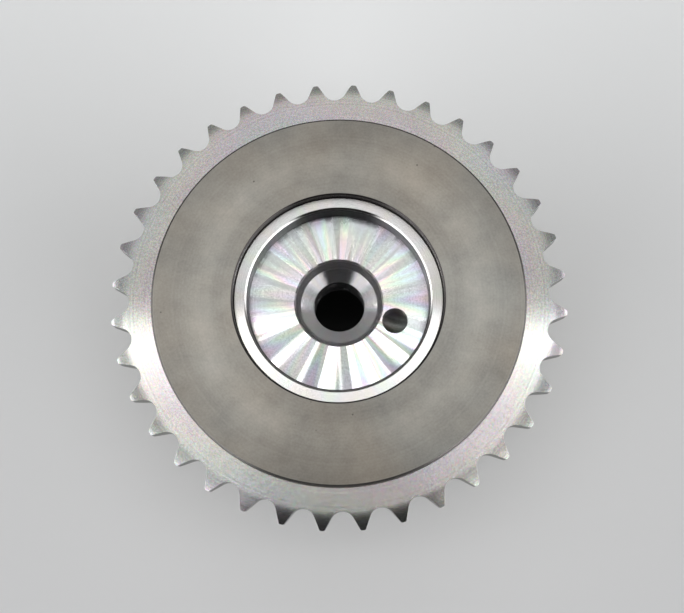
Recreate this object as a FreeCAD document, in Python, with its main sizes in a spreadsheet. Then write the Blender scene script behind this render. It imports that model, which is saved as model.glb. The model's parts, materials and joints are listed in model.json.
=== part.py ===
import FreeCAD, Part
import math
import operator
import os
import types

import Sketcher

# Vane-type camshaft phaser with its chain wheel, lying on its front.
# The origin is on the axis, level with the faces of the cover screws. +Z points to the camshaft side.

# Driving dimensions, in millimetres and degrees

DRIVING_SIZES = {
    # chain wheel
    "chain_pitch": 8.0,
    "roller_diameter": 5.0,
    "roller_seat_play": 0.02,
    "roller_seat_half_angle": 60.0,
    "tooth_count": 36,
    "tooth_tip_rise": 1.41,
    "tooth_phase": 6.17,
    "wheel_thickness": 5.0,
    "tooth_bevel_reach": 3.87,
    "tooth_bevel_depth": 1.0,
    "tooth_bevel_bulge": 0.25,
    "wheel_web": 4.69,
    "press_gap": 0.02,
    # housing
    "spigot_wall": 2.7,
    "housing_wall": 5.0,
    "chamber_depth": 19.0,
    "chamber_count": 5,
    "chamber_phase": 90.0,
    "chamber_half_angle": 24.0,
    "chamber_corner_radius": 1.5,
    "lobe_corner": 1.3,
    "rear_wall": 6.0,
    "face_step": 1.3,
    "face_edge_chamfer": 0.15,
    "bore_mouth_chamfer": 0.21,
    "housing_edge_chamfer": 0.6,
    # hub
    "hub_share": 0.6673,
    "socket_depth": 4.3,
    "socket_chamfer": 0.6,
    "hub_ring_wall": 2.8,
    "hub_ring_drop": 2.1,
    "hub_ring_chamfer": 0.2,
    "journal_play": 0.04,
    "hub_step": 2.2,
    "hole_mouth_radius": 9.45,
    "cone_waist_radius": 8.15,
    "steep_cone_depth": 2.8,
    "shallow_cone_depth": 1.6,
    "bolt_bore_radius": 5.45,
    "head_recess_radius": 12.0,
    "head_recess_depth": 6.0,
    "head_recess_chamfer": 0.5,
    "dowel_radius": 2.7,
    "dowel_circle_radius": 12.45,
    "dowel_angle": -18.3,
    "dowel_depth": 5.0,
    "drill_point_angle": 118.0,
    # oil ways through the hub
    "oil_way_radius": 1.0,
    "oil_way_offset": 1.3,
    "oil_way_inset": 2.2,
    # vanes
    "turn_each_way": 11.0,
    "stop_play_angle": 0.15,
    "vane_half_angle": 8.0,
    "vane_tip_play": 0.25,
    "vane_corner": 1.7,
    "vane_root_radius": 0.8,
    "rotor_end_play": 0.03,
    "lobe_tip_play": 0.3,
    # seals
    "seal_width": 2.0,
    "seal_height": 2.6,
    "seal_side_play": 0.05,
    "seal_tip_play": 0.15,
    "seal_end_play": 0.1,
    "seal_spring_space": 0.9,
    "seal_spring_thickness": 0.2,
    "seal_spring_width": 1.6,
    "seal_spring_play": 0.03,
    "seal_spring_inset": 1.5,
    # lock pin
    "pin_slot_wall": 2.0,
    "pin_guide_radius": 3.7,
    "pin_tip_radius": 3.1,
    "pin_play": 0.05,
    "pin_tip_length": 6.4,
    "pin_bore_step": 2.8,
    "pin_wall": 1.2,
    "pin_floor": 3.4,
    "pin_tip_chamfer": 0.6,
    "pin_lift": 1.2,
    "pin_spring_wire": 0.7,
    "pin_spring_play": 0.2,
    "pin_spring_turns": 5,
    "vent_radius": 1.25,
    "retainer_thickness": 2.7,
    "retainer_lip": 0.9,
    "seat_wall": 1.9,
    "seat_depth": 4.0,
    "seat_taper": 0.35,
    "seat_floor": 0.8,
    # cover
    "cover_thickness": 6.0,
    "cover_opening_radius": 15.5,
    "cover_edge_chamfer": 0.8,
    # cover screws
    "screw_radius": 3.0,
    "screw_thread_play": 0.04,
    "screw_hole_play": 0.3,
    "screw_slot_wall": 1.3,
    "screw_length": 18.0,
    "screw_tip_chamfer": 0.6,
    "screw_hole_spare": 2.0,
    "screw_head_radius": 5.25,
    "screw_head_height": 3.3,
    "screw_head_chamfer": 0.7,
    "screw_socket_width": 4.0,
    "screw_socket_depth": 2.0,
}


class Term:
    """A length or an angle: its formula on the sheet, with the number that it gives now."""

    def __init__(self, text, number):
        self.text = text
        self.number = number

    def __add__(self, other):
        return combined(self, "+", operator.add, other)

    def __radd__(self, other):
        return combined(other, "+", operator.add, self)

    def __sub__(self, other):
        return combined(self, "-", operator.sub, other)

    def __rsub__(self, other):
        return combined(other, "-", operator.sub, self)

    def __mul__(self, other):
        return combined(self, "*", operator.mul, other)

    def __rmul__(self, other):
        return combined(other, "*", operator.mul, self)

    def __truediv__(self, other):
        return combined(self, "/", operator.truediv, other)

    def __rtruediv__(self, other):
        return combined(other, "/", operator.truediv, self)

    def __neg__(self):
        return combined(0, "-", operator.sub, self)


def as_term(value):
    """Gives a plain number the same form as a size from the sheet."""
    if isinstance(value, Term):
        return value
    return Term(str(value), value)


def combined(left, sign, work, right):
    """Joins two terms by one of the four operations."""
    left = as_term(left)
    right = as_term(right)
    return Term("(%s %s %s)" % (left.text, sign, right.text), work(left.number, right.number))


def sine(angle):
    return Term("sin(%s)" % angle.text, math.sin(math.radians(angle.number)))


def cosine(angle):
    return Term("cos(%s)" % angle.text, math.cos(math.radians(angle.number)))


def tangent(angle):
    return Term("tan(%s)" % angle.text, math.tan(math.radians(angle.number)))


def arc_tangent(ratio):
    return Term("(atan(%s) / 1 deg)" % ratio.text, math.degrees(math.atan(ratio.number)))


def polar_point(radius, angle):
    """A point given by its distance from the axis and its direction."""
    return (radius * cosine(angle), radius * sine(angle))


doc = FreeCAD.newDocument("cam_phaser")


def make_sheet():
    """Writes each driving dimension beside its name, and names its cell by it."""
    sheet = doc.addObject("Spreadsheet::Sheet", "sizes")
    for row, (name, number) in enumerate(DRIVING_SIZES.items(), 1):
        sheet.set("A%d" % row, name)
        sheet.set("B%d" % row, str(number))
        sheet.setAlias("B%d" % row, name)
    doc.recompute()
    terms = {name: Term("sizes." + name, number) for name, number in DRIVING_SIZES.items()}
    return types.SimpleNamespace(**terms)


size = make_sheet()

NONE = as_term(0)

# Angles and counts that follow from the driving dimensions

tooth_step = 360 / size.tooth_count
chamber_step = 360 / size.chamber_count
lobe_phase = size.chamber_phase + chamber_step / 2
lock_angle = size.chamber_phase - size.turn_each_way
lock_vane_half_angle = size.chamber_half_angle - size.turn_each_way - size.stop_play_angle

# Radii, from the chain wheel inwards to the chambers

pitch_radius = size.chain_pitch / (2 * sine(tooth_step / 2))
roller_seat_radius = size.roller_diameter / 2 + size.roller_seat_play
tip_radius = pitch_radius + size.tooth_tip_rise
root_radius = pitch_radius - roller_seat_radius
wheel_bore_radius = root_radius - size.wheel_web
spigot_radius = wheel_bore_radius - size.press_gap
chamber_radius = spigot_radius - size.spigot_wall
housing_radius = chamber_radius + size.housing_wall

# Radii, from the hub inwards to the camshaft socket

hub_radius = chamber_radius * size.hub_share
journal_radius = hub_radius - size.hub_step
socket_radius = journal_radius - size.hub_ring_wall

# Radii between the hub and the chamber walls

lobe_tip_radius = hub_radius + size.lobe_tip_play
lobe_seal_start = hub_radius + size.seal_tip_play
lobe_slot_floor = lobe_seal_start + size.seal_height + size.seal_spring_space
screw_circle_radius = lobe_slot_floor + size.screw_slot_wall + size.screw_radius
vane_tip_radius = chamber_radius - size.vane_tip_play
vane_seal_start = chamber_radius - size.seal_tip_play - size.seal_height
vane_slot_floor = vane_seal_start - size.seal_spring_space
pin_circle_radius = vane_slot_floor - size.pin_slot_wall - size.pin_guide_radius

# Heights, from the faces of the cover screws up to the camshaft side

cover_front = size.screw_head_height
cover_back = cover_front + size.cover_thickness
chamber_end = cover_back + size.chamber_depth
rear_face = chamber_end + size.rear_wall
wheel_top = rear_face - size.face_step
wheel_bottom = wheel_top - size.wheel_thickness
rotor_front = cover_back + size.rotor_end_play
vane_end = chamber_end - size.rotor_end_play
hub_ring_face = rear_face - size.hub_ring_drop
socket_floor = hub_ring_face - size.socket_depth
cone_waist = socket_floor - size.steep_cone_depth
bolt_bore_top = cone_waist - size.shallow_cone_depth
retainer_bottom = vane_end - size.retainer_thickness
pin_top = retainer_bottom - size.pin_lift
pin_bottom = rotor_front

# Sketches

COUNTER_CLOCKWISE = 1
CLOCKWISE = -1
ORIGIN_POINT = (-1, 1)
START_INDEX = 1
END_INDEX = 2
CENTRE_INDEX = 3
ARC_ENDS = {COUNTER_CLOCKWISE: (START_INDEX, END_INDEX), CLOCKWISE: (END_INDEX, START_INDEX)}
UP = FreeCAD.Vector(0, 0, 1)
SIDE = FreeCAD.Vector(0, 1, 0)
QUARTER_TURN = 90
HEXAGON_SIDES = 6


def fix_point(sketch, geometry, position, x, y):
    """Ties one point of a sketch to the sheet, measured from the sketch's own origin."""
    for kind, axis, distance in (("DistanceX", -2, x), ("DistanceY", -1, y)):
        if distance is NONE:
            sketch.addConstraint(Sketcher.Constraint("PointOnObject", geometry, position, axis))
            continue
        constraint = Sketcher.Constraint(kind, *ORIGIN_POINT, geometry, position, distance.number)
        index = sketch.addConstraint(constraint)
        sketch.setExpression("Constraints[%d]" % index, distance.text)


def fix_radius(sketch, geometry, radius):
    index = sketch.addConstraint(Sketcher.Constraint("Radius", geometry, radius.number))
    sketch.setExpression("Constraints[%d]" % index, radius.text)


def arc_between(begin, finish, radius, turn):
    """The shorter arc from one point to another, with its centre on the side that it turns to."""
    chord = finish - begin
    to_left = FreeCAD.Vector(-chord.y, chord.x, 0).normalize()
    reach = math.sqrt(max(radius ** 2 - (chord.Length / 2) ** 2, 0))
    centre = (begin + finish) / 2 + to_left * (reach * turn)
    first, last = (begin, finish) if turn == COUNTER_CLOCKWISE else (finish, begin)
    first_angle = math.atan2(first.y - centre.y, first.x - centre.x)
    last_angle = math.atan2(last.y - centre.y, last.x - centre.x)
    if last_angle < first_angle:
        last_angle += 2 * math.pi
    return Part.ArcOfCircle(Part.Circle(centre, UP, radius), first_angle, last_angle)


def draw_outline(sketch, corners, arcs=None):
    """Draws a closed outline through its corners.

    Edges are straight, apart from those whose number arcs gives a radius and a turn.
    """
    arcs = arcs or {}
    points = [FreeCAD.Vector(x.number, y.number, 0) for x, y in corners]
    starts = []
    ends = []
    for number, begin in enumerate(points):
        finish = points[(number + 1) % len(points)]
        if number in arcs:
            radius, turn = arcs[number]
            edge = sketch.addGeometry(arc_between(begin, finish, radius.number, turn), False)
            fix_radius(sketch, edge, radius)
            order = ARC_ENDS[turn]
        else:
            edge = sketch.addGeometry(Part.LineSegment(begin, finish), False)
            order = ARC_ENDS[COUNTER_CLOCKWISE]
        starts.append((edge, order[0]))
        ends.append((edge, order[1]))
    for number, corner in enumerate(corners):
        sketch.addConstraint(Sketcher.Constraint("Coincident", *ends[number - 1], *starts[number]))
        fix_point(sketch, *starts[number], *corner)


def draw_circle(sketch, x, y, radius):
    centre = FreeCAD.Vector(x.number, y.number, 0)
    circle = sketch.addGeometry(Part.Circle(centre, UP, radius.number), False)
    fix_point(sketch, circle, CENTRE_INDEX, x, y)
    fix_radius(sketch, circle, radius)


def corner_reach(width):
    """How far the corners of a hexagon lie from its centre, from its width across flats."""
    return width / 2 / cosine(as_term(180 / HEXAGON_SIDES))


def draw_hexagon(sketch, x, y, width):
    step = as_term(360 / HEXAGON_SIDES)
    around = [polar_point(corner_reach(width), step * side) for side in range(HEXAGON_SIDES)]
    draw_outline(sketch, [(x + corner_x, y + corner_y) for corner_x, corner_y in around])


# Bodies and features


def new_body(node):
    body = doc.addObject("PartDesign::Body", node)
    body.Label = node
    return body


def origin_part(body, role):
    """One of a body's own planes or axes."""
    return next(item for item in body.Origin.OriginFeatures if item.Role == role)


def new_sketch(body, name, plane, x=NONE, height=NONE, turned_about=UP, turn=NONE):
    """A sketch on one of the body's planes, moved along it, lifted off it and turned."""
    sketch = body.newObject("Sketcher::SketchObject", name)
    sketch.AttachmentSupport = (origin_part(body, plane), [""])
    sketch.MapMode = "FlatFace"
    turning = FreeCAD.Rotation(turned_about, turn.number)
    sketch.AttachmentOffset = FreeCAD.Placement(FreeCAD.Vector(x.number, 0, height.number), turning)
    places = (("Base.x", x), ("Base.z", height), ("Rotation.Angle", turn))
    for place, term in places:
        if term is not NONE:
            sketch.setExpression("AttachmentOffset." + place, term.text)
    return sketch


def upright_sketch(body, name, x=NONE):
    """A sketch for a half section: its X runs outwards and its Y runs up the axis."""
    return new_sketch(body, name, "XZ_Plane", x=x)


def revolve(body, name, sketch):
    feature = body.newObject("PartDesign::Revolution", name)
    feature.Profile = sketch
    feature.ReferenceAxis = (sketch, ["V_Axis"])
    feature.Angle = 360
    return feature


def pad(body, name, sketch, length):
    feature = body.newObject("PartDesign::Pad", name)
    feature.Profile = sketch
    feature.setExpression("Length", length.text)
    return feature


def pocket(body, name, sketch, depth, upwards=False):
    """Cuts down from the sketch, or up from it."""
    feature = body.newObject("PartDesign::Pocket", name)
    feature.Profile = sketch
    feature.Reversed = upwards
    feature.setExpression("Length", depth.text)
    return feature


def drill(body, name, sketch, radius, depth):
    """A blind hole with the cone that a drill leaves."""
    doc.recompute()
    feature = body.newObject("PartDesign::Hole", name)
    feature.Profile = sketch
    feature.ThreadType = "None"
    feature.DepthType = "Dimension"
    feature.DrillPoint = "Angled"
    feature.setExpression("Diameter", (2 * radius).text)
    feature.setExpression("Depth", depth.text)
    feature.setExpression("DrillPointAngle", size.drill_point_angle.text)
    return feature


def repeat_around(body, name, features, count):
    """Repeats features evenly around the body's Z axis."""
    pattern = body.newObject("PartDesign::PolarPattern", name)
    pattern.Originals = features
    pattern.Axis = (origin_part(body, "Z_Axis"), [""])
    pattern.Angle = 360
    pattern.setExpression("Occurrences", count.text)
    body.Tip = pattern
    return pattern


def round_upright_edges(body, name, radius, at_radius):
    """Rounds the straight edges along Z that lie at one distance from the axis."""
    doc.recompute()
    base = body.Tip
    tolerance = 0.01
    names = []
    for number, edge in enumerate(base.Shape.Edges, 1):
        low, high = edge.Vertexes[0].Point, edge.Vertexes[-1].Point
        upright = math.hypot(high.x - low.x, high.y - low.y) < tolerance < abs(high.z - low.z)
        if upright and abs(math.hypot(low.x, low.y) - at_radius.number) < tolerance:
            names.append("Edge%d" % number)
    feature = body.newObject("PartDesign::Fillet", name)
    feature.Base = (base, names)
    feature.setExpression("Radius", radius.text)
    return feature


def turn_body(body, angle):
    """Turns a whole body about the Z axis."""
    body.Placement = FreeCAD.Placement(FreeCAD.Vector(), FreeCAD.Rotation(UP, angle.number))
    body.setExpression("Placement.Rotation.Angle", angle.text)


def move_body(body, x, y):
    """Moves a whole body sideways."""
    body.setExpression("Placement.Base.x", x.text)
    body.setExpression("Placement.Base.y", y.text)


# Chain wheel


def make_sprocket_ring():
    """A ring turned with tooth tips bevelled in two steps, and a roller gap cut between each two teeth."""
    body = new_body("sprocket_ring")
    bevel_start = tip_radius - size.tooth_bevel_reach
    bevel_middle = tip_radius - size.tooth_bevel_reach / 2
    middle_depth = size.tooth_bevel_depth * size.tooth_bevel_bulge
    section = upright_sketch(body, "wheel_section")
    corners = [
        (wheel_bore_radius, wheel_bottom),
        (bevel_start, wheel_bottom),
        (bevel_middle, wheel_bottom + middle_depth),
        (tip_radius, wheel_bottom + size.tooth_bevel_depth),
        (tip_radius, wheel_top - size.tooth_bevel_depth),
        (bevel_middle, wheel_top - middle_depth),
        (bevel_start, wheel_top),
        (wheel_bore_radius, wheel_top),
    ]
    draw_outline(section, corners)
    revolve(body, "turned_ring", section)

    gap = new_sketch(body, "tooth_gap_outline", "XY_Plane", height=wheel_bottom)
    seat_x = pitch_radius - roller_seat_radius * cosine(size.roller_seat_half_angle)
    seat_y = roller_seat_radius * sine(size.roller_seat_half_angle)
    past_tip = tip_radius + roller_seat_radius
    mouth_y = seat_y + (past_tip - seat_x) / tangent(size.roller_seat_half_angle)
    corners = [(seat_x, seat_y), (seat_x, -seat_y), (past_tip, -mouth_y), (past_tip, mouth_y)]
    draw_outline(gap, corners, {0: (roller_seat_radius, COUNTER_CLOCKWISE)})
    cut = pocket(body, "tooth_gap", gap, size.wheel_thickness, upwards=True)
    repeat_around(body, "tooth_gaps", [cut], size.tooth_count)
    turn_body(body, size.tooth_phase + tooth_step / 2)
    return body


# Housing


def make_stator_housing():
    """A cup with lobes that part its chambers, its rear wall bored for the rotor's journal."""
    body = new_body("stator_housing")
    bore_radius = journal_radius + size.journal_play
    edge = size.housing_edge_chamfer
    section = upright_sketch(body, "cup_section")
    corners = [
        (lobe_tip_radius, cover_back),
        (housing_radius - edge, cover_back),
        (housing_radius, cover_back + edge),
        (housing_radius, wheel_bottom - edge),
        (housing_radius - edge, wheel_bottom),
        (spigot_radius, wheel_bottom),
        (spigot_radius, rear_face - size.face_edge_chamfer),
        (spigot_radius - size.face_edge_chamfer, rear_face),
        (bore_radius + size.bore_mouth_chamfer, rear_face),
        (bore_radius, rear_face - size.bore_mouth_chamfer),
        (bore_radius, chamber_end),
        (lobe_tip_radius, chamber_end),
    ]
    draw_outline(section, corners)
    revolve(body, "turned_cup", section)

    half = size.chamber_half_angle
    flare = arc_tangent(size.lobe_corner / lobe_tip_radius)
    chamber = new_sketch(body, "chamber_outline", "XY_Plane", height=cover_back, turn=size.chamber_phase)
    corners = [
        polar_point(lobe_tip_radius - size.lobe_corner, -(half + 2 * flare)),
        polar_point(lobe_tip_radius + size.lobe_corner, -half),
        polar_point(chamber_radius, -half),
        polar_point(chamber_radius, half),
        polar_point(lobe_tip_radius + size.lobe_corner, half),
        polar_point(lobe_tip_radius - size.lobe_corner, half + 2 * flare),
    ]
    draw_outline(chamber, corners, {2: (chamber_radius, COUNTER_CLOCKWISE)})
    cut = pocket(body, "chamber", chamber, size.chamber_depth, upwards=True)
    repeat_around(body, "chambers", [cut], size.chamber_count)
    round_upright_edges(body, "chamber_corners", size.chamber_corner_radius, chamber_radius)

    slot = new_sketch(body, "seal_slot_outline", "XY_Plane", height=cover_back, turn=lobe_phase)
    slot_half_width = size.seal_width / 2 + size.seal_side_play
    corners = [
        (hub_radius, -slot_half_width),
        (lobe_slot_floor, -slot_half_width),
        (lobe_slot_floor, slot_half_width),
        (hub_radius, slot_half_width),
    ]
    draw_outline(slot, corners)
    cut = pocket(body, "seal_slot", slot, size.chamber_depth, upwards=True)
    repeat_around(body, "seal_slots", [cut], size.chamber_count)

    hole = new_sketch(body, "screw_hole_outline", "XY_Plane", height=cover_back, turn=lobe_phase)
    draw_circle(hole, screw_circle_radius, NONE, size.screw_radius)
    depth = size.screw_length - size.cover_thickness + size.screw_hole_spare
    cut = pocket(body, "screw_hole", hole, depth, upwards=True)
    repeat_around(body, "screw_holes", [cut], size.chamber_count)
    return body


# Front cover and what it carries


def seat_radius():
    """Outer radius of the lock pin's seat."""
    return size.pin_tip_radius + size.seat_wall


def make_front_cover():
    """A flat plate with an opening for the centre bolt's head, screw holes and the pin seat's pocket."""
    body = new_body("front_cover")
    edge = size.cover_edge_chamfer
    section = upright_sketch(body, "cover_section")
    corners = [
        (size.cover_opening_radius + edge, cover_front),
        (housing_radius - edge, cover_front),
        (housing_radius, cover_front + edge),
        (housing_radius, cover_back),
        (size.cover_opening_radius, cover_back),
        (size.cover_opening_radius, cover_front + edge),
    ]
    draw_outline(section, corners)
    revolve(body, "turned_plate", section)

    hole = new_sketch(body, "screw_way_outline", "XY_Plane", height=cover_front, turn=lobe_phase)
    draw_circle(hole, screw_circle_radius, NONE, size.screw_radius + size.screw_hole_play)
    cut = pocket(body, "screw_way", hole, size.cover_thickness, upwards=True)
    repeat_around(body, "screw_ways", [cut], size.chamber_count)

    seat = new_sketch(body, "seat_pocket_outline", "XY_Plane", height=cover_back, turn=lock_angle)
    draw_circle(seat, pin_circle_radius, NONE, seat_radius())
    pocket(body, "seat_pocket", seat, size.seat_depth)

    vent = new_sketch(body, "vent_outline", "XY_Plane", height=cover_back, turn=lock_angle)
    draw_circle(vent, pin_circle_radius, NONE, size.vent_radius)
    pocket(body, "vent", vent, size.cover_thickness)
    return body


def make_lock_pin_seat():
    """A hard bush with a tapered mouth, flush with the cover's inner face."""
    body = new_body("lock_pin_seat")
    bottom = cover_back - size.seat_depth
    mouth = size.pin_tip_radius + size.pin_play
    outer = seat_radius() - size.press_gap
    section = upright_sketch(body, "seat_section")
    corners = [
        (size.vent_radius, bottom),
        (outer, bottom),
        (outer, cover_back),
        (mouth + size.seat_taper, cover_back),
        (mouth, bottom + size.seat_floor),
        (size.vent_radius, bottom + size.seat_floor),
    ]
    draw_outline(section, corners)
    revolve(body, "turned_seat", section)
    move_body(body, *polar_point(pin_circle_radius, lock_angle))
    return body


def make_cover_screws():
    """One low-headed socket screw turned and broached, then repeated on every lobe."""
    body = new_body("cover_screws")
    shank = size.screw_radius - size.screw_thread_play
    tip = cover_front + size.screw_length
    section = upright_sketch(body, "screw_section", x=screw_circle_radius)
    corners = [
        (NONE, NONE),
        (size.screw_head_radius - size.screw_head_chamfer, NONE),
        (size.screw_head_radius, size.screw_head_chamfer),
        (size.screw_head_radius, size.screw_head_height),
        (shank, size.screw_head_height),
        (shank, tip - size.screw_tip_chamfer),
        (shank - size.screw_tip_chamfer, tip),
        (NONE, tip),
    ]
    draw_outline(section, corners)
    turned = revolve(body, "turned_screw", section)

    socket = new_sketch(body, "socket_outline", "XY_Plane", x=screw_circle_radius)
    draw_hexagon(socket, NONE, NONE, size.screw_socket_width)
    broached = pocket(body, "socket", socket, size.screw_socket_depth, upwards=True)
    repeat_around(body, "screws", [turned, broached], size.chamber_count)
    turn_body(body, lobe_phase)
    return body


# Rotor


def make_rotor():
    """A hub turned with its socket, cones and bolt bore, vanes standing on it and oil ways beside them."""
    body = new_body("rotor")
    recess_end = rotor_front + size.head_recess_depth
    section = upright_sketch(body, "hub_section")
    corners = [
        (size.head_recess_radius + size.head_recess_chamfer, rotor_front),
        (hub_radius, rotor_front),
        (hub_radius, vane_end),
        (journal_radius, vane_end),
        (journal_radius, hub_ring_face - size.hub_ring_chamfer),
        (journal_radius - size.hub_ring_chamfer, hub_ring_face),
        (socket_radius + size.socket_chamfer, hub_ring_face),
        (socket_radius, hub_ring_face - size.socket_chamfer),
        (socket_radius, socket_floor),
        (size.hole_mouth_radius, socket_floor),
        (size.cone_waist_radius, cone_waist),
        (size.bolt_bore_radius, bolt_bore_top),
        (size.bolt_bore_radius, recess_end),
        (size.head_recess_radius, recess_end),
        (size.head_recess_radius, rotor_front + size.head_recess_chamfer),
    ]
    draw_outline(section, corners)
    revolve(body, "turned_hub", section)

    for name, half_angle in (("vane", size.vane_half_angle), ("lock_vane", lock_vane_half_angle)):
        outline = new_sketch(body, name + "_outline", "XY_Plane", height=rotor_front, turn=size.chamber_phase)
        corner_angle = half_angle - arc_tangent(size.vane_corner / vane_tip_radius)
        inside_hub = hub_radius - size.hub_step
        corners = [
            polar_point(inside_hub, -half_angle),
            polar_point(vane_tip_radius - size.vane_corner, -half_angle),
            polar_point(vane_tip_radius, -corner_angle),
            polar_point(vane_tip_radius, corner_angle),
            polar_point(vane_tip_radius - size.vane_corner, half_angle),
            polar_point(inside_hub, half_angle),
        ]
        draw_outline(outline, corners, {2: (vane_tip_radius, COUNTER_CLOCKWISE)})
        blade = pad(body, name, outline, vane_end - rotor_front)
        if name == "vane":
            repeat_around(body, "vanes", [blade], size.chamber_count)
    round_upright_edges(body, "vane_roots", size.vane_root_radius, hub_radius)

    slot = new_sketch(body, "tip_slot_outline", "XY_Plane", height=rotor_front, turn=size.chamber_phase)
    slot_half_width = size.seal_width / 2 + size.seal_side_play
    corners = [
        (vane_slot_floor, -slot_half_width),
        (chamber_radius, -slot_half_width),
        (chamber_radius, slot_half_width),
        (vane_slot_floor, slot_half_width),
    ]
    draw_outline(slot, corners)
    cut = pocket(body, "tip_slot", slot, vane_end - rotor_front, upwards=True)
    repeat_around(body, "tip_slots", [cut], size.chamber_count)

    steps = (
        ("pin_tip_bore", size.pin_tip_radius, NONE),
        ("pin_guide_bore", size.pin_guide_radius, size.pin_bore_step),
    )
    for name, radius, start in steps:
        bore = new_sketch(
            body, name + "_outline", "XY_Plane", height=rotor_front + start, turn=size.chamber_phase
        )
        draw_circle(bore, pin_circle_radius, NONE, radius + size.pin_play)
        pocket(body, name, bore, vane_end - rotor_front - start, upwards=True)

    dowel = new_sketch(body, "dowel_hole_centre", "XY_Plane", height=socket_floor, turn=size.dowel_angle)
    draw_circle(dowel, size.dowel_circle_radius, NONE, size.dowel_radius)
    drill(body, "dowel_hole", dowel, size.dowel_radius, size.dowel_depth)

    from_vane = lock_vane_half_angle + arc_tangent(size.oil_way_offset / hub_radius)
    ways = (
        ("advance_way", bolt_bore_top - size.oil_way_inset, size.chamber_phase + from_vane),
        ("retard_way", recess_end + size.oil_way_inset, size.chamber_phase - from_vane),
    )
    for name, height, angle in ways:
        across = new_sketch(body, name + "_outline", "XZ_Plane", turned_about=SIDE, turn=angle - QUARTER_TURN)
        draw_circle(across, NONE, height, size.oil_way_radius)
        way = pocket(body, name, across, hub_radius + size.oil_way_radius)
        repeat_around(body, name + "s", [way], size.chamber_count)
    return body


# Seals and their leaf springs


def make_seal(node, inner_radius, angle):
    """A flat strip that stands on end in its slot."""
    body = new_body(node)
    outline = new_sketch(body, "strip_outline", "XY_Plane", height=rotor_front + size.seal_end_play)
    half_width = size.seal_width / 2
    corners = [
        (inner_radius, -half_width),
        (inner_radius + size.seal_height, -half_width),
        (inner_radius + size.seal_height, half_width),
        (inner_radius, half_width),
    ]
    draw_outline(outline, corners)
    pad(body, "strip", outline, vane_end - rotor_front - 2 * size.seal_end_play)
    turn_body(body, angle)
    return body


def make_seal_spring(node, slot_floor, towards_axis, angle):
    """A bowed leaf between the slot's floor and the back of the strip."""
    body = new_body(node)
    bow = size.seal_spring_space - size.seal_spring_thickness - 2 * size.seal_spring_play
    low = rotor_front + size.seal_spring_inset
    high = vane_end - size.seal_spring_inset
    half_span = (high - low) / 2
    bow_radius = (half_span * half_span + bow * bow) / (2 * bow)
    if towards_axis:
        outer = slot_floor - size.seal_spring_play
        inner = outer - size.seal_spring_thickness
        turn = COUNTER_CLOCKWISE
    else:
        inner = slot_floor + size.seal_spring_play
        outer = inner + size.seal_spring_thickness
        turn = CLOCKWISE
    leaf = new_sketch(body, "leaf_outline", "XZ_Plane", height=-size.seal_spring_width / 2)
    corners = [(inner, high), (inner, low), (outer, low), (outer, high)]
    back = COUNTER_CLOCKWISE if turn == CLOCKWISE else CLOCKWISE
    draw_outline(leaf, corners, {0: (bow_radius, turn), 2: (bow_radius, back)})
    pad(body, "leaf", leaf, size.seal_spring_width)
    turn_body(body, angle)
    return body


def make_seals():
    """A strip and a leaf spring in every lobe and every vane."""
    pieces = []
    for number, place in enumerate(range(DRIVING_SIZES["chamber_count"]), 1):
        lobe_angle = lobe_phase + place * chamber_step
        vane_angle = size.chamber_phase + place * chamber_step
        pieces.append(make_seal("lobe_seal_%d" % number, lobe_seal_start, lobe_angle))
        pieces.append(make_seal_spring("lobe_seal_spring_%d" % number, lobe_slot_floor, True, lobe_angle))
        pieces.append(make_seal("vane_seal_%d" % number, vane_seal_start, vane_angle))
        pieces.append(make_seal_spring("vane_seal_spring_%d" % number, vane_slot_floor, False, vane_angle))
    return pieces


# Lock pin, its spring and its retainer


def make_lock_pin():
    """A stepped pin, bored from behind for its spring."""
    body = new_body("lock_pin")
    shoulder = pin_bottom + size.pin_tip_length
    section = upright_sketch(body, "pin_section")
    corners = [
        (NONE, pin_bottom),
        (size.pin_tip_radius - size.pin_tip_chamfer, pin_bottom),
        (size.pin_tip_radius, pin_bottom + size.pin_tip_chamfer),
        (size.pin_tip_radius, shoulder),
        (size.pin_guide_radius, shoulder),
        (size.pin_guide_radius, pin_top),
        (size.pin_guide_radius - size.pin_wall, pin_top),
        (size.pin_guide_radius - size.pin_wall, pin_bottom + size.pin_floor),
        (NONE, pin_bottom + size.pin_floor),
    ]
    draw_outline(section, corners)
    revolve(body, "turned_pin", section)
    move_body(body, *polar_point(pin_circle_radius, size.chamber_phase))
    return body


def make_lock_pin_spring():
    """A coil from the floor of the pin to the retainer, of six-sided wire."""
    body = new_body("lock_pin_spring")
    bottom = pin_bottom + size.pin_floor + size.pin_spring_wire / 2
    top = retainer_bottom - size.pin_spring_wire / 2
    inside_pin = size.pin_guide_radius - size.pin_wall - size.pin_spring_play
    coil_radius = inside_pin - corner_reach(size.pin_spring_wire)
    wire = upright_sketch(body, "wire_section")
    draw_hexagon(wire, coil_radius, bottom, size.pin_spring_wire)
    coil = body.newObject("PartDesign::AdditiveHelix", "coil")
    coil.Profile = wire
    coil.ReferenceAxis = (wire, ["V_Axis"])
    coil.Mode = "pitch-height-angle"
    coil.setExpression("Pitch", ((top - bottom) / size.pin_spring_turns).text)
    coil.setExpression("Height", (top - bottom).text)
    move_body(body, *polar_point(pin_circle_radius, size.chamber_phase))
    return body


def make_lock_pin_retainer():
    """A vented plug, flush with the vane's rear face, with a lip that centres the spring."""
    body = new_body("lock_pin_retainer")
    outer = size.pin_guide_radius + size.pin_play - size.press_gap
    inside_spring = size.pin_guide_radius - size.pin_wall - 2 * size.pin_spring_play - size.pin_spring_wire
    section = upright_sketch(body, "retainer_section")
    lip_bottom = retainer_bottom - size.retainer_lip
    corners = [
        (size.vent_radius / 2, lip_bottom),
        (inside_spring, lip_bottom),
        (inside_spring, retainer_bottom),
        (outer, retainer_bottom),
        (outer, vane_end),
        (size.vent_radius / 2, vane_end),
    ]
    draw_outline(section, corners)
    revolve(body, "turned_retainer", section)
    move_body(body, *polar_point(pin_circle_radius, size.chamber_phase))
    return body


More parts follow.
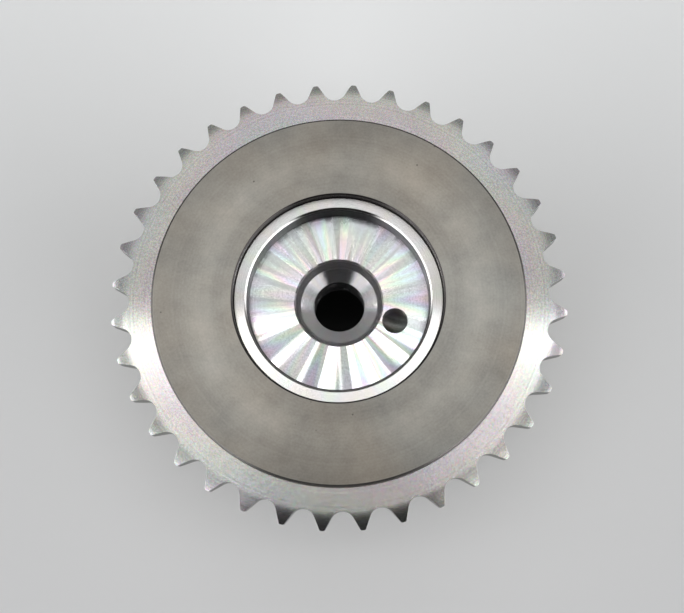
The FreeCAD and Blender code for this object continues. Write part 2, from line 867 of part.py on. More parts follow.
def make_pieces():
    pieces = [
        make_sprocket_ring(),
        make_stator_housing(),
        make_front_cover(),
        make_cover_screws(),
        make_lock_pin_seat(),
        make_rotor(),
    ]
    pieces += make_seals()
    pieces += [make_lock_pin_retainer(), make_lock_pin_spring(), make_lock_pin()]
    return pieces


def find_faults(pieces):
    """Names every object that failed and every piece without a sound shape."""
    faults = []
    for item in doc.Objects:
        if "Invalid" in item.State or "Error" in item.State:
            faults.append("%s is %s" % (item.Name, ", ".join(item.State)))
    for piece in pieces:
        wanted = DRIVING_SIZES["chamber_count"] if piece.Label == "cover_screws" else 1
        if piece.Shape.isNull() or not piece.Shape.isValid():
            faults.append("%s has no valid shape" % piece.Label)
        elif len(piece.Shape.Solids) != wanted:
            faults.append("%s has %d solids" % (piece.Label, len(piece.Shape.Solids)))
    return faults


def main():
    pieces = make_pieces()
    doc.recompute()
    faults = find_faults(pieces)
    if faults:
        raise RuntimeError("; ".join(faults))
    os.makedirs("parts", exist_ok=True)
    for piece in pieces:
        piece.Shape.exportStep(os.path.join("parts", piece.Label + ".step"))
        print("%-22s %10.1f mm3" % (piece.Label, piece.Shape.Volume))


main()
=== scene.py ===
import json
import math

import bmesh
import bpy
from mathutils import Matrix, Vector

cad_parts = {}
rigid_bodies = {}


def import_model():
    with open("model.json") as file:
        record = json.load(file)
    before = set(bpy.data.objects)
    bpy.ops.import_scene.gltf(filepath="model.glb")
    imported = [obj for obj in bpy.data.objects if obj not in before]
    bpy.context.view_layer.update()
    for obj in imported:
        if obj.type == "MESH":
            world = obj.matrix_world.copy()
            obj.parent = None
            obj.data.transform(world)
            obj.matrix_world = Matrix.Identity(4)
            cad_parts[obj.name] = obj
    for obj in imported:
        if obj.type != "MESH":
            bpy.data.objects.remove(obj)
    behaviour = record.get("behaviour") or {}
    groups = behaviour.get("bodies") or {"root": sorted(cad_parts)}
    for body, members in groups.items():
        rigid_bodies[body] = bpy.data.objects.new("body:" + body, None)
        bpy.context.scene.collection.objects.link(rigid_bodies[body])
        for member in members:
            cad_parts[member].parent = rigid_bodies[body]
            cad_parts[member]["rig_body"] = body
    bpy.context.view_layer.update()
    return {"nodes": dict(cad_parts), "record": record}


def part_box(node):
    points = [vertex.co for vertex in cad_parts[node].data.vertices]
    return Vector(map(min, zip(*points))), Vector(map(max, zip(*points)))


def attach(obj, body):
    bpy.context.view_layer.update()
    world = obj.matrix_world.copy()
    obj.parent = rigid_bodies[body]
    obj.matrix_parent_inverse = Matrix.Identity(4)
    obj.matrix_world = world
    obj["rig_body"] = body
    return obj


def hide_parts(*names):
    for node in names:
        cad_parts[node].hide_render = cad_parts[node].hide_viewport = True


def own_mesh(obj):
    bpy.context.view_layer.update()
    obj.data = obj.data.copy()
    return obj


# A camshaft phaser lying on its front, seen from its camshaft side.

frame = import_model()

MM = 0.001
FULL_TURN = 2 * math.pi
AXIS = Vector((0, 0, 1))
ORIGIN = Vector((0, 0, 0))

# Where the finishes of one piece, and the light and shade painted on it, change

HUB_BORE_RADIUS = 21.84 * MM
BORE_CHAMFER_END = HUB_BORE_RADIUS + 0.32 * MM
LIGHT_BAND_START = 24.5 * MM
CROWN_RADIUS = 30.0 * MM
CROWN_REACH = 7.0 * MM
DISC_RADIUS = 38.66 * MM
DISC_EDGE_WIDTH = 0.4 * MM
DISC_EDGE_BOTTOM = 33.85 * MM
CONE_RADIUS = 9.1 * MM
SOCKET_RADIUS = 19.0 * MM
SOCKET_WALL_END = SOCKET_RADIUS + 0.25 * MM
SOCKET_MOUTH_START = SOCKET_RADIUS + 0.35 * MM
SOCKET_MOUTH_END = SOCKET_RADIUS + 0.65 * MM
SOCKET_FLOOR = 27.9 * MM

# Sizes of the chain wheel that its finished teeth take up again

TOOTH_COUNT = 36
TOOTH_PHASE = math.radians(6.17)
CHAIN_PITCH = 8.0 * MM
PITCH_RADIUS = CHAIN_PITCH / (2 * math.sin(math.pi / TOOTH_COUNT))
ROLLER_SEAT_RADIUS = 2.52 * MM
ROLLER_SEAT_HALF_ANGLE = math.radians(60)
TOOTH_TIP_ROUNDING = 0.4 * MM
TOOTH_BEVEL_RADIUS = 8.0 * MM
TOOTH_BEVEL_DEPTH = 1.0 * MM
ROLLER_SEAT_STEPS = 12
TOOTH_TIP_STEPS = 5
TOOTH_BEVEL_STEPS = 10
WHEEL_STEPS = TOOTH_COUNT * 10

# The lock pin's coil spring

SPRING_WIRE = 0.7 * MM
SPRING_END_PITCH = 0.72 * MM
SPRING_OPEN_TURNS = 3
SPRING_STEPS_A_TURN = 40
WIRE_SIDES = 14

# How meshes are finished

EDGE_WIDTH = 0.08 * MM
SAME_POINT = 0.001 * MM
FLAT_ANGLE = math.radians(0.3)
SHARP_ANGLE = math.radians(30)
SMOOTH_ANGLE = math.radians(21)
TOOTH_SMOOTH_ANGLE = math.radians(14.5)
COIL_SMOOTH_ANGLE = math.radians(40)
FLAT_FACES_WEIGHT = 100
GRAIN_SPACE = 50 * MM

# A quarter turn from the way round the axis, in which the turned grain spreads light
ACROSS_THE_GRAIN = 0.25

# Shader maths


class Shade:
    """One socket of a node tree. Sums and products of shades add the nodes that work them out."""

    def __init__(self, tree, socket=None):
        self.tree = tree
        self.socket = socket

    def node(self, kind, settings=None, values=None, output=0):
        """Adds a node: its settings first, then the values or links of its sockets."""
        made = self.tree.nodes.new("ShaderNode" + kind)
        for name, setting in (settings or {}).items():
            setattr(made, name, setting)
        for name, value in (values or {}).items():
            if isinstance(value, Shade):
                self.tree.links.new(value.socket, made.inputs[name])
            else:
                made.inputs[name].default_value = value
        return Shade(self.tree, made.outputs[output])

    def work(self, operation, *values):
        """Adds a Math node."""
        return self.node("Math", {"operation": operation}, dict(enumerate(values)))

    def __add__(self, other):
        return self.work("ADD", self, other)

    def __radd__(self, other):
        return self.work("ADD", other, self)

    def __sub__(self, other):
        return self.work("SUBTRACT", self, other)

    def __rsub__(self, other):
        return self.work("SUBTRACT", other, self)

    def __mul__(self, other):
        return self.work("MULTIPLY", self, other)

    def __rmul__(self, other):
        return self.work("MULTIPLY", other, self)

    def __truediv__(self, other):
        return self.work("DIVIDE", self, other)

    def __rtruediv__(self, other):
        return self.work("DIVIDE", other, self)

    def square_root(self):
        return self.work("SQRT", self)

    def fraction(self):
        """What is left of a number without its whole part."""
        return self.work("FRACT", self)

    def part(self, axis):
        """One of the three numbers of a vector."""
        return self.node("SeparateXYZ", values={0: self}, output=axis)

    def step(self, low, high):
        """Rises smoothly from 0 at low to 1 at high, which may also be the smaller number."""
        ends = {"Value": self, "From Min": low, "From Max": high}
        return self.node("MapRange", {"interpolation_type": "SMOOTHSTEP"}, ends)

    def swing(self, spread):
        """A pattern from 0 to 1 as a change of up to half the spread, up or down."""
        return (self - 0.5) * spread

    def blend(self, first, second):
        """The first colour where this is 0, the second where it is 1."""
        values = {"Factor": self, 6: first, 7: second}
        return self.node("Mix", {"data_type": "RGBA"}, values, output=2)

    def tinted(self, colour):
        """This colour times another one."""
        settings = {"data_type": "RGBA", "blend_type": "MULTIPLY"}
        return self.node("Mix", settings, {"Factor": 1.0, 6: self, 7: colour}, output=2)


def colour_from(red, green, blue):
    return red.node("CombineColor", {}, {0: red, 1: green, 2: blue})


def rainbow(turn, strength):
    """A pale colour of the rainbow, which comes round again at each whole turn."""
    return turn.node("CombineColor", {"mode": "HSV"}, {0: turn.fraction(), 1: strength, 2: 1.0})


def grey(level):
    return (level, level, level, 1)


# Patterns that finishes are made of


class Ground:
    """Where a point of a piece is: its place, distance from the axis, direction and how level it is."""

    def __init__(self, material):
        root = Shade(material.node_tree)
        self.place = root.node("TexCoord", output="Object")
        self.x = self.place.part("X")
        self.y = self.place.part("Y")
        self.z = self.place.part("Z")
        self.radius = (self.x * self.x + self.y * self.y).square_root()
        self.across = self.x / self.radius
        self.along = self.y / self.radius
        self.level = root.node("TexCoord", output="Normal").part("Z")

    def inside(self, radius, blur):
        """0 from a radius outwards, and 1 where it is nearer to the axis by the blur or more."""
        return self.radius.step(radius, radius - blur)

    def outside(self, radius, blur):
        """0 up to a radius, and 1 where it is farther from the axis by the blur or more."""
        return self.radius.step(radius, radius + blur)

    def cloud(self, size, detail=3.0, roughness=0.5):
        """Soft patches of about one size, from 0 to 1."""
        settings = {"noise_dimensions": "3D"}
        values = {"Vector": self.place, "Scale": 1 / size, "Detail": detail, "Roughness": roughness}
        return self.place.node("TexNoise", settings, values)

    def rays(self, count, seed, length=60 * MM):
        """Streaks that run out from the axis, about so many in a turn."""
        spread = count / FULL_TURN
        values = {0: self.across * spread + seed, 1: self.along * spread, 2: self.radius / length}
        vector = self.place.node("CombineXYZ", values=values)
        return self.place.node("TexNoise", {}, {"Vector": vector, "Scale": 1.0, "Detail": 1.0})

    def rings(self, pitch, seed=0.0):
        """Turning marks, that run round the axis."""
        values = {"W": self.radius / pitch + seed, "Scale": 1.0, "Detail": 2.0}
        return self.place.node("TexNoise", {"noise_dimensions": "1D"}, values)

    def specks(self, size, share):
        """Sparse dots: 1 in a dot and 0 elsewhere."""
        values = {"Vector": self.place, "Scale": 1 / size}
        distance = self.place.node("TexVoronoi", {"feature": "F1"}, values)
        return 1 - distance.step(share * 0.5, share)

    def painted_sheen(self, strength, rays):
        """A painted sheen: faint rainbow colours, as fine cutting marks show them under light, that
        change from ray to ray.
        """
        ray_turns, ring_width, cloud_size, cloud_turns = 2.2, 14 * MM, 6 * MM, 0.5
        turn = rays * ray_turns + self.radius / ring_width + self.cloud(cloud_size) * cloud_turns
        return rainbow(turn, strength)


def new_material(name):
    material = bpy.data.materials.new(name)
    material.use_nodes = True
    material.node_tree.nodes.clear()
    return material


def show(material, surface):
    output = material.node_tree.nodes.new("ShaderNodeOutputMaterial")
    material.node_tree.links.new(surface.socket, output.inputs["Surface"])
    return material


def metal(material, colour, roughness, height, depth, anisotropy=0.0, metallic=1.0):
    """A metal surface. The height is a pattern, and depth is what one unit of it measures."""
    root = Shade(material.node_tree)
    values = {
        "Base Color": colour,
        "Roughness": roughness,
        "Metallic": metallic,
        "Anisotropic": anisotropy,
        "Anisotropic Rotation": ACROSS_THE_GRAIN,
        "Normal": root.node("Bump", {}, {"Height": height * depth, "Distance": 1.0}),
    }
    return show(material, root.node("BsdfPrincipled", {}, values))


# Finishes


def ring_steel():
    """Ground steel: bright, with painted shade on its flanks, painted glints in its grain and a painted
    rainbow sheen.
    """
    base_tone, base_rough, flank_shade = 0.62, 0.22, 0.65
    painted_glint_turns, painted_glint_strength, painted_sheen_strength = 4.0, 0.14, 0.05
    material = new_material("ring_steel")
    ground = Ground(material)
    grain = ground.cloud(0.35 * MM, detail=2.0, roughness=0.7)
    # Painted glints: sparkle in all colours, painted into the grain's colour.
    painted_glint_hue = ground.cloud(0.45 * MM, detail=1.0) * painted_glint_turns
    patches = ground.cloud(9 * MM)
    turning = ground.rings(0.35 * MM)
    # Painted shade: the wheel's flanks and steep edges are painted darker.
    shaded_flanks = ground.level.step(0.85, 0.60)
    tone = base_tone + grain.swing(0.50) + turning.swing(0.20) + patches.swing(0.14)
    tone = tone * (1 - shaded_flanks * flank_shade)
    plain = colour_from(tone * 1.03, tone, tone * 0.98)
    painted_glint_colour = plain.tinted(rainbow(painted_glint_hue, painted_glint_strength))
    # Painted sheen: faint rainbow colours over the whole wheel.
    colour = painted_glint_colour.tinted(ground.painted_sheen(painted_sheen_strength, ground.rays(7, seed=5.0)))
    rough = base_rough + grain.swing(0.10)
    return metal(material, colour, rough, grain, 0.001 * MM, anisotropy=0.95)


def housing_steel():
    """Sintered steel, matt and warm grey, with soft patches, a few dark pores and smooth turned edges.

    The face of the disc is crowned a very little, with a painted light band and painted shade at its
    brim. The bore's edge and the disc's outer edge are painted dark as shade.
    """
    base_tone, base_rough, turned_gloss = 0.375, 0.50, 0.25
    face_tone, light_band_gain, brim_shade = 1.02, 0.10, 0.20
    pore_size, crown_height = 0.010 * MM, 20
    bore_blur, rim_blur = 0.06 * MM, 0.08 * MM
    material = new_material("housing_steel")
    ground = Ground(material)
    patches = ground.cloud(13 * MM, detail=4.0, roughness=0.6)
    stains = ground.cloud(21 * MM, detail=2.0)
    grain = ground.cloud(0.45 * MM, detail=3.0)
    turning = ground.rings(0.5 * MM, seed=4.0)
    pores = ground.specks(5.0 * MM, 0.05)
    blotches = ground.cloud(3.5 * MM, detail=3.0)
    bands = ground.rings(8 * MM, seed=2.5)
    tone = base_tone + patches.swing(0.25) + blotches.swing(0.12) + bands.swing(0.09)
    tone = tone + grain.swing(0.12) + turning.swing(0.05)
    # Painted light and shade: a paler band and a darker brim on the disc's face, as light falls on its
    # crown.
    painted_light_band = ground.outside(LIGHT_BAND_START, blur=4.0 * MM)
    painted_shade_brim = ground.outside(CROWN_RADIUS - 1.0 * MM, blur=5.5 * MM)
    tone = tone * (face_tone + painted_light_band * light_band_gain - painted_shade_brim * brim_shade)
    warm = stains.swing(0.20)
    plain = colour_from(tone * 1.03 + warm * 0.4, tone * 0.97, tone * 0.86 - warm * 0.3)
    porous = (pores * 0.6).blend(plain, (0.06, 0.055, 0.05, 1))
    shaded_bore = ground.inside(BORE_CHAMFER_END, bore_blur)
    shaded_rim = ground.outside(DISC_RADIUS - DISC_EDGE_WIDTH - rim_blur, rim_blur)
    shaded_rim = shaded_rim * ground.z.step(DISC_EDGE_BOTTOM - 0.05 * MM, DISC_EDGE_BOTTOM)
    turned = shaded_bore + shaded_rim * (1 - shaded_bore)
    # Painted shade: the bore's edge is painted near black and the disc's outer edge dark.
    colour = shaded_rim.blend(shaded_bore.blend(porous, (0.05, 0.045, 0.045, 1)), (0.11, 0.105, 0.10, 1))
    rough = base_rough + patches.swing(0.08) - turned * turned_gloss
    aside = (ground.radius - CROWN_RADIUS) / CROWN_REACH
    height = grain - pores - aside * aside * crown_height
    return metal(material, colour, rough, height, pore_size, anisotropy=0.6, metallic=0.8)


def cover_steel():
    """Ground flat steel of the cover."""
    base_tone, base_rough = 0.42, 0.36
    material = new_material("cover_steel")
    ground = Ground(material)
    grain = ground.cloud(0.5 * MM)
    patches = ground.cloud(12 * MM)
    tone = base_tone + grain * 0.08 + patches * 0.08
    colour = colour_from(tone, tone, tone * 0.97)
    return metal(material, colour, base_rough + patches * 0.08, ground.rings(0.3 * MM), 0.006 * MM)


def screw_steel():
    """Blackened steel, worn a little paler in patches."""
    base_rough = 0.38
    material = new_material("screw_steel")
    ground = Ground(material)
    worn = ground.cloud(1.4 * MM, detail=4.0).step(0.55, 0.75)
    colour = worn.blend((0.045, 0.045, 0.05, 1), (0.11, 0.11, 0.115, 1))
    rough = base_rough + worn * 0.1
    return metal(material, colour, rough, ground.cloud(0.3 * MM), 0.006 * MM, metallic=0.9)


def rotor_steel():
    """Fine-turned steel: bright, with chatter in the socket's floor that light runs along in rays,
    painted shade in its recesses and round the socket's mouth, and a painted rainbow sheen.
    """
    base_tone, base_rough = 0.86, 0.12
    blur = 0.1 * MM
    material = new_material("rotor_steel")
    ground = Ground(material)
    in_cones = ground.inside(CONE_RADIUS + blur, blur)
    in_socket = ground.inside(SOCKET_RADIUS, blur)
    shaded_wall = (1 - in_socket) * ground.inside(SOCKET_WALL_END, blur)
    face = (1 - in_socket) * (1 - shaded_wall)
    before_face = ground.inside(SOCKET_MOUTH_END, blur / 2)
    shaded_mouth = ground.outside(SOCKET_MOUTH_START, blur) * before_face
    shaded_chamfer = face * before_face
    floor = in_socket * (1 - in_cones)
    shaded_hole = floor * ground.z.step(SOCKET_FLOOR - 2 * blur, SOCKET_FLOOR - 4 * blur)
    grain = ground.cloud(0.28 * MM, detail=3.0, roughness=0.7)
    turning = ground.rings(0.25 * MM)
    wide_rays = ground.rays(44, seed=11.3).step(0.44, 0.56)
    fine_rays = ground.rays(150, seed=4.5, length=40 * MM).step(0.40, 0.70)
    chatter = (wide_rays * 0.75 + fine_rays * 0.25) * floor
    dull_rays = ground.rays(40, seed=5.7, length=50 * MM).step(0.47, 0.58) * floor
    tone = base_tone + grain.swing(0.30 + dull_rays * 0.7) + turning.swing(0.16)
    # Painted shade: the cones of the centre bore are painted a little darker.
    tone = tone + floor * 0.02 + chatter * 0.10 - dull_rays * 0.17 - in_cones * 0.06
    # Painted shade: the holes under the socket's floor and the socket's wall are painted darker.
    tone = tone * (1 - shaded_hole * 0.5) * (1 - shaded_wall * 0.85) * (1 - face * 0.10)
    # Painted shade: the chamfer and the mouth of the socket are painted darker, for a dark line round
    # it.
    tone = tone * (1 - shaded_chamfer * 0.25) * (1 - shaded_mouth * 0.4)
    plain = colour_from(tone, tone, tone * (1 - face * 0.05))
    # Painted sheen: rainbow colours, strongest in the chatter's rays.
    painted_sheen_strength = 0.04 + floor * 0.01 + chatter * 0.12
    colour = plain.tinted(ground.painted_sheen(painted_sheen_strength, ground.rays(30, seed=7.0)))
    rough = base_rough + chatter * 0.11 + dull_rays * 0.17 + grain.swing(0.08)
    rough = rough + (1 - floor) * 0.075 + (shaded_hole + shaded_wall) * 0.2
    return metal(material, colour, rough, turning, 0.0004 * MM, anisotropy=0.95)


def pin_steel():
    """Hard ground steel of the lock pin and of its seat."""
    base_tone, base_rough = 0.5, 0.25
    material = new_material("pin_steel")
    ground = Ground(material)
    grain = ground.cloud(0.4 * MM)
    tone = base_tone + grain * 0.1
    colour = colour_from(tone, tone, tone)
    return metal(material, colour, base_rough + grain * 0.1, grain, 0.003 * MM)


def spring_steel():
    """Drawn spring wire and strip, a little brown from tempering."""
    base_rough = 0.3
    material = new_material("spring_steel")
    ground = Ground(material)
    temper = ground.cloud(2.0 * MM)
    colour = temper.step(0.35, 0.7).blend((0.36, 0.33, 0.28, 1), (0.48, 0.46, 0.43, 1))
    return metal(material, colour, base_rough + temper * 0.1, ground.cloud(0.2 * MM), 0.003 * MM)


def seal_plastic():
    """Dark brown filled plastic of the sealing strips."""
    base_rough = 0.5
    material = new_material("seal_plastic")
    ground = Ground(material)
    fill = ground.cloud(0.25 * MM, detail=4.0)
    colour = fill.step(0.3, 0.7).blend((0.05, 0.035, 0.025, 1), (0.09, 0.065, 0.045, 1))
    return metal(material, colour, base_rough + fill * 0.15, fill, 0.01 * MM, metallic=0.0)


FINISHES = {
    "ring_steel": ring_steel(),
    "housing_steel": housing_steel(),
    "cover_steel": cover_steel(),
    "screw_steel": screw_steel(),
    "rotor_steel": rotor_steel(),
    "pin_steel": pin_steel(),
    "spring_steel": spring_steel(),
    "seal_plastic": seal_plastic(),
}
NODE_SLOTS = {part["node"]: part["material_slot"] for part in frame["record"]["subparts"]}


# Pieces


def reach(node):
    """The least and the greatest distance of a CAD node's corners from the axis."""
    distances = [vertex.co.xy.length for vertex in frame["nodes"][node].data.vertices]
    return min(distances), max(distances)


def give_finish(mesh, node):
    mesh.materials.clear()
    mesh.materials.append(FINISHES[NODE_SLOTS[node]])


def add_thing(name, data):
    """Puts an object in the scene."""
    thing = bpy.data.objects.new(name, data)
    bpy.context.scene.collection.objects.link(thing)
    return thing


def add_piece(name, mesh, node):
    """Puts a mesh in the scene in place of a CAD node, on the same body and with the same finish."""
    piece = add_thing(name, mesh)
    give_finish(mesh, node)
    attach(piece, frame["nodes"][node]["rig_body"])
    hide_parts(node)
    return piece


def ease_edges(bm):
    """Breaks the sharp edges, as a deburred part's are."""
    sharp = [edge for edge in bm.edges if edge.calc_face_angle(0) > SHARP_ANGLE]
    bmesh.ops.bevel(
        bm,
        geom=sharp,
        offset=EDGE_WIDTH,
        offset_type="OFFSET",
        affect="EDGES",
        segments=2,
        profile=0.5,
        material=-1,
        clamp_overlap=True,
    )


def mesh_from(bm, name, smooth_angle=SMOOTH_ANGLE):
    """Ends a bmesh as a mesh, smooth over its small angles, with its grain round the axis."""
    for face in bm.faces:
        face.smooth = True
    rough = bpy.data.meshes.new(name)
    bm.to_mesh(rough)
    bm.free()
    rough.set_sharp_from_angle(angle=smooth_angle)
    thing = add_thing(name, rough)
    flat_faces_rule = thing.modifiers.new("normals", "WEIGHTED_NORMAL")
    flat_faces_rule.mode = "FACE_AREA"
    flat_faces_rule.weight = FLAT_FACES_WEIGHT
    flat_faces_rule.keep_sharp = True
    evaluated = thing.evaluated_get(bpy.context.evaluated_depsgraph_get())
    mesh = bpy.data.meshes.new_from_object(evaluated)
    bpy.data.objects.remove(thing)
    bpy.data.meshes.remove(rough)
    mesh.name = name
    mesh.use_auto_texspace = False
    mesh.texspace_location = ORIGIN
    mesh.texspace_size = (GRAIN_SPACE, GRAIN_SPACE, GRAIN_SPACE)
    return mesh


def widen_disc_edge(bm):
    """Breaks the outer edge of the disc wider, as its thin dark outline in the photo shows."""
    near, old_edge = 0.02 * MM, 0.3 * MM
    face = max(vertex.co.z for vertex in bm.verts)
    corners = bm.verts[:]
    places = [(corner, corner.co.z - face, corner.co.xy.length - DISC_RADIUS) for corner in corners]
    inner = [corner for corner, up, out in places if up > -near and out > -old_edge]
    outer = [corner for corner, up, out in places if up > -old_edge and out > -near]
    for corner in inner:
        corner.co.xy = corner.co.xy.normalized() * (DISC_RADIUS - DISC_EDGE_WIDTH)
    for corner in outer:
        corner.co.z = face - DISC_EDGE_WIDTH


def finish_node(node):
    """A copy of a CAD node with its triangles joined and its edges eased."""
    bm = bmesh.new()
    bm.from_mesh(frame["nodes"][node].data)
    bmesh.ops.remove_doubles(bm, verts=bm.verts, dist=SAME_POINT)
    bmesh.ops.dissolve_limit(bm, angle_limit=FLAT_ANGLE, verts=bm.verts, edges=bm.edges)
    if node == "stator_housing":
        widen_disc_edge(bm)
    ease_edges(bm)
    name = node + "_finished"
    add_piece(name, mesh_from(bm, name), node)


def spin_around(bm, steps):
    """Turns everything in a bmesh into a solid of revolution about the axis."""
    bmesh.ops.spin(
        bm,
        geom=bm.verts[:] + bm.edges[:],
        cent=ORIGIN,
        axis=AXIS,
        dvec=ORIGIN,
        angle=FULL_TURN,
        steps=steps,
        use_merge=True,
    )
    bmesh.ops.remove_doubles(bm, verts=bm.verts, dist=SAME_POINT)
    bmesh.ops.recalc_face_normals(bm, faces=bm.faces)


def draw_loop(bm, points):
    """A closed line through points."""
    corners = [bm.verts.new(point) for point in points]
    for corner, following in zip(corners, corners[1:] + corners[:1]):
        bm.edges.new((corner, following))


def round_corner(before, corner, after, radius, steps):
    """Points of the arc that rounds the corner between two straight runs."""
    into = (before - corner).normalized()
    away = (after - corner).normalized()
    half = into.angle(away) / 2
    centre = corner + (into + away).normalized() * (radius / math.sin(half))
    first = corner + into * (radius / math.tan(half)) - centre
    last = corner + away * (radius / math.tan(half)) - centre
    shares = [step / steps for step in range(steps + 1)]
    return [centre + first.lerp(last, share).normalized() * radius for share in shares]


def subtract(bm, cutters):
    """Cuts one bmesh out of another."""
    things = []
    for name, part in (("body", bm), ("cutters", cutters)):
        mesh = bpy.data.meshes.new(name)
        part.to_mesh(mesh)
        part.free()
        things.append(add_thing(name, mesh))
    body, cutter = things
    cut = body.modifiers.new("cut", "BOOLEAN")
    cut.operation = "DIFFERENCE"
    cut.solver = "EXACT"
    cut.object = cutter
    result = bmesh.new()
    result.from_object(body, bpy.context.evaluated_depsgraph_get())
    for thing in things:
        mesh = thing.data
        bpy.data.objects.remove(thing)
        bpy.data.meshes.remove(mesh)
    return result


def turned_wheel():
    """The chain wheel before its teeth are cut, with the rounded bevel on both sides of its rim."""
    low, high = (corner.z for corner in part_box("sprocket_ring"))
    bore_radius, tip_radius = reach("sprocket_ring")
    bevel_turn = math.acos(1 - TOOTH_BEVEL_DEPTH / TOOTH_BEVEL_RADIUS)
    bevel_start = tip_radius - TOOTH_BEVEL_RADIUS * math.sin(bevel_turn)
    bevel = []
    for step in range(TOOTH_BEVEL_STEPS + 1):
        turn = bevel_turn * step / TOOTH_BEVEL_STEPS
        out = TOOTH_BEVEL_RADIUS * math.sin(turn)
        down = TOOTH_BEVEL_RADIUS * (1 - math.cos(turn))
        bevel.append((bevel_start + out, down))
    section = [(bore_radius, low)]
    section += [(radius, low + depth) for radius, depth in bevel]
    section += [(radius, high - depth) for radius, depth in reversed(bevel)]
    section += [(bore_radius, high)]
    bm = bmesh.new()
    draw_loop(bm, [(radius, 0, height) for radius, height in section])
    spin_around(bm, WHEEL_STEPS)
    return bm


def tooth_gap_outline(tip_radius, spare):
    """The gap between two teeth, centred on +X: a roller's seat, its flanks and the tips' rounding."""
    seat = []
    for step in range(ROLLER_SEAT_STEPS + 1):
        turn = ROLLER_SEAT_HALF_ANGLE * (1 - 2 * step / ROLLER_SEAT_STEPS)
        x = PITCH_RADIUS - ROLLER_SEAT_RADIUS * math.cos(turn)
        seat.append(Vector((x, ROLLER_SEAT_RADIUS * math.sin(turn))))
    flank_end = seat[-1]
    flank = Vector((math.sin(ROLLER_SEAT_HALF_ANGLE), -math.cos(ROLLER_SEAT_HALF_ANGLE)))
    run = flank_end.dot(flank)
    to_tip = math.sqrt(run * run + tip_radius * tip_radius - flank_end.length_squared) - run
    tip_corner = flank_end + flank * to_tip
    along_tip = Vector((tip_corner.y, -tip_corner.x)).normalized() * spare
    rounding = round_corner(
        flank_end, tip_corner, tip_corner + along_tip, TOOTH_TIP_ROUNDING, TOOTH_TIP_STEPS
    )
    side = rounding + [rounding[-1] * (1 + spare / tip_radius)]
    return seat + side + [Vector((point.x, -point.y)) for point in reversed(side)]


def tooth_gap_cutters():
    """One cutter for the gap between each two teeth, a little thicker than the wheel."""
    low, high = (corner.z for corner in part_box("sprocket_ring"))
    spare = 1 * MM
    outline = tooth_gap_outline(reach("sprocket_ring")[1], spare)
    bm = bmesh.new()
    face = bm.faces.new([bm.verts.new((point.x, point.y, low - spare)) for point in outline])
    raised = bmesh.ops.extrude_face_region(bm, geom=[face])["geom"]
    corners = [item for item in raised if isinstance(item, bmesh.types.BMVert)]
    bmesh.ops.translate(bm, verts=corners, vec=(0, 0, high - low + 2 * spare))
    bmesh.ops.recalc_face_normals(bm, faces=bm.faces)
    tooth_step = FULL_TURN / TOOTH_COUNT
    first_gap = Matrix.Rotation(TOOTH_PHASE + tooth_step / 2, 3, AXIS)
    bmesh.ops.rotate(bm, verts=bm.verts, cent=ORIGIN, matrix=first_gap)
    bmesh.ops.spin(
        bm,
        geom=bm.verts[:] + bm.edges[:] + bm.faces[:],
        cent=ORIGIN,
        axis=AXIS,
        dvec=ORIGIN,
        angle=FULL_TURN - tooth_step,
        steps=TOOTH_COUNT - 1,
        use_duplicate=True,
    )
    return bm


def finish_sprocket_ring():
    """The chain wheel with its bevel in one smooth curve and its tooth tips rounded."""
    bm = subtract(turned_wheel(), tooth_gap_cutters())
    bmesh.ops.remove_doubles(bm, verts=bm.verts, dist=SAME_POINT)
    ease_edges(bm)
    name = "sprocket_ring_finished"
    add_piece(name, mesh_from(bm, name, TOOTH_SMOOTH_ANGLE), "sprocket_ring")


def finish_lock_pin_spring():
    """The coil in round wire, with a closed turn at each end."""
    low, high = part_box("lock_pin_spring")
    wire_radius = SPRING_WIRE / 2
    coil_radius = (high.x - low.x) / 2 - wire_radius
    open_rise = high.z - low.z - SPRING_WIRE - 2 * SPRING_END_PITCH
    bm = bmesh.new()
    bmesh.ops.create_circle(bm, cap_ends=False, radius=wire_radius, segments=WIRE_SIDES)
    upright = Matrix.Rotation(math.radians(90), 3, "X")
    bmesh.ops.rotate(bm, verts=bm.verts, cent=ORIGIN, matrix=upright)
    bmesh.ops.translate(bm, verts=bm.verts, vec=(coil_radius, 0, low.z + wire_radius))
    end = bm.verts[:] + bm.edges[:]
    closed_turn, open_turns = (1, SPRING_END_PITCH), (SPRING_OPEN_TURNS, open_rise)
    for turns, rise in (closed_turn, open_turns, closed_turn):
        steps = turns * SPRING_STEPS_A_TURN
        spun = bmesh.ops.spin(
            bm,
            geom=end,
            cent=ORIGIN,
            axis=AXIS,
            dvec=AXIS * (rise / steps),
            angle=FULL_TURN * turns,
            steps=steps,
        )
        end = spun["geom_last"]
    bmesh.ops.holes_fill(bm, edges=[edge for edge in bm.edges if edge.is_boundary], sides=0)
    bmesh.ops.recalc_face_normals(bm, faces=bm.faces)
    centre = (low + high) / 2
    bmesh.ops.translate(bm, verts=bm.verts, vec=(centre.x, centre.y, 0))
    name = "lock_pin_spring_finished"
    spring = add_piece(name, mesh_from(bm, name, COIL_SMOOTH_ANGLE), "lock_pin_spring")
    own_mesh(spring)


for node, thing in frame["nodes"].items():
    give_finish(thing.data, node)
for node in ("stator_housing", "front_cover", "cover_screws", "rotor", "lock_pin", "lock_pin_seat"):
    finish_node(node)
finish_sprocket_ring()
finish_lock_pin_spring()


# Floor, light and camera


def add_sheet(name, left, right, near, far, height, material):
    """A level sheet that stands outside the part."""
    corners = [(left, near), (right, near), (right, far), (left, far)]
    bm = bmesh.new()
    bm.faces.new([bm.verts.new((x, y, height)) for x, y in corners])
    mesh = bpy.data.meshes.new(name)
    bm.to_mesh(mesh)
    bm.free()
    mesh.materials.append(material)
    sheet = add_thing(name, mesh)
    return sheet


